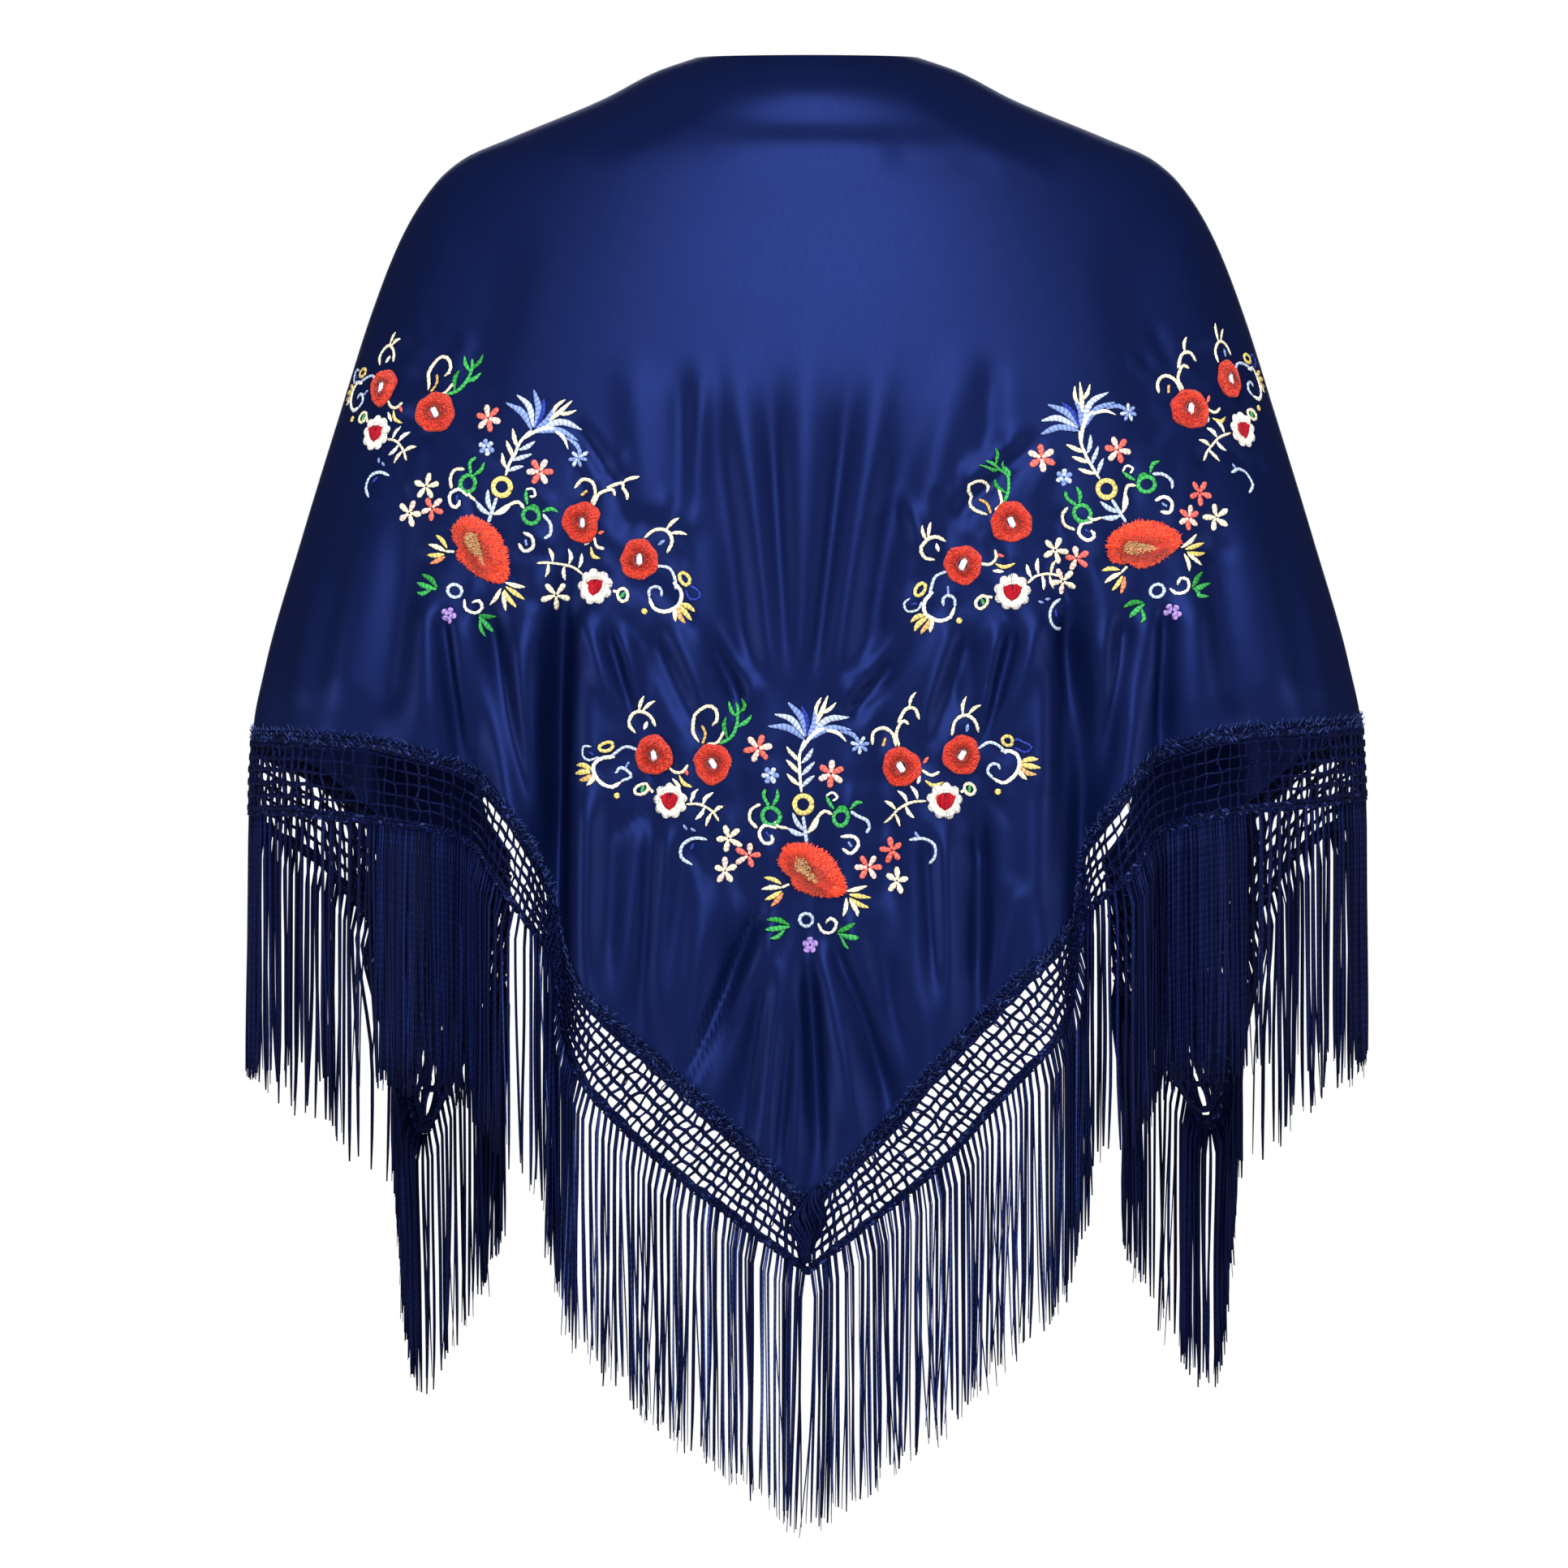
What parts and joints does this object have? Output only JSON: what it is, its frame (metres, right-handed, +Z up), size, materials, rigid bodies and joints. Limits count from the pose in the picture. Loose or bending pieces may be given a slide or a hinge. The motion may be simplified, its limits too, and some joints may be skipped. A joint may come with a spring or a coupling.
{
  "type": "flamenco shawl, worn",
  "caption": "Triangular satin shawl draped round the shoulders, open in front, with a knotted border, long fringe and raised embroidered flowers.",
  "frame": {"origin": "the middle of the line between the two shoulders on which the cloth bears", "axes": "+Z up, the wearer's back faces -Y and the open front +Y, the wearer's left arm is at -X"},
  "size_m": [0.6652, 0.2778, 0.8698],
  "materials": {
    "navy_satin": "woven satin with a soft sheen",
    "navy_rayon": "twisted rayon cord, semi-gloss",
    "red_thread": "tufted embroidery thread, matte",
    "embroidery_thread": "embroidery thread, matte"
  },
  "bodies": {
    "root": {"satin_cloth": "navy_satin", "top_knots_left": "navy_rayon", "top_knots_right": "navy_rayon", "net_left": "navy_rayon", "net_right": "navy_rayon", "fringe_left": "navy_rayon", "fringe_right": "navy_rayon", "poppy_back": "red_thread", "rose_back_left_outer": "red_thread", "rose_back_left_inner": "red_thread", "rose_back_right_inner": "red_thread", "rose_back_right_outer": "red_thread", "carnation_back_left": "embroidery_thread", "carnation_back_right": "embroidery_thread", "poppy_left": "red_thread", "rose_left_outer_far": "red_thread", "rose_left_outer_near": "red_thread", "carnation_left_far": "embroidery_thread", "rose_left_inner_far": "red_thread", "rose_left_inner_near": "red_thread", "carnation_left_near": "embroidery_thread", "poppy_right": "red_thread", "rose_right_outer_far": "red_thread", "rose_right_outer_near": "red_thread", "carnation_right_far": "embroidery_thread", "rose_right_inner_far": "red_thread", "rose_right_inner_near": "red_thread", "carnation_right_near": "embroidery_thread"}
  },
  "joints": []
}
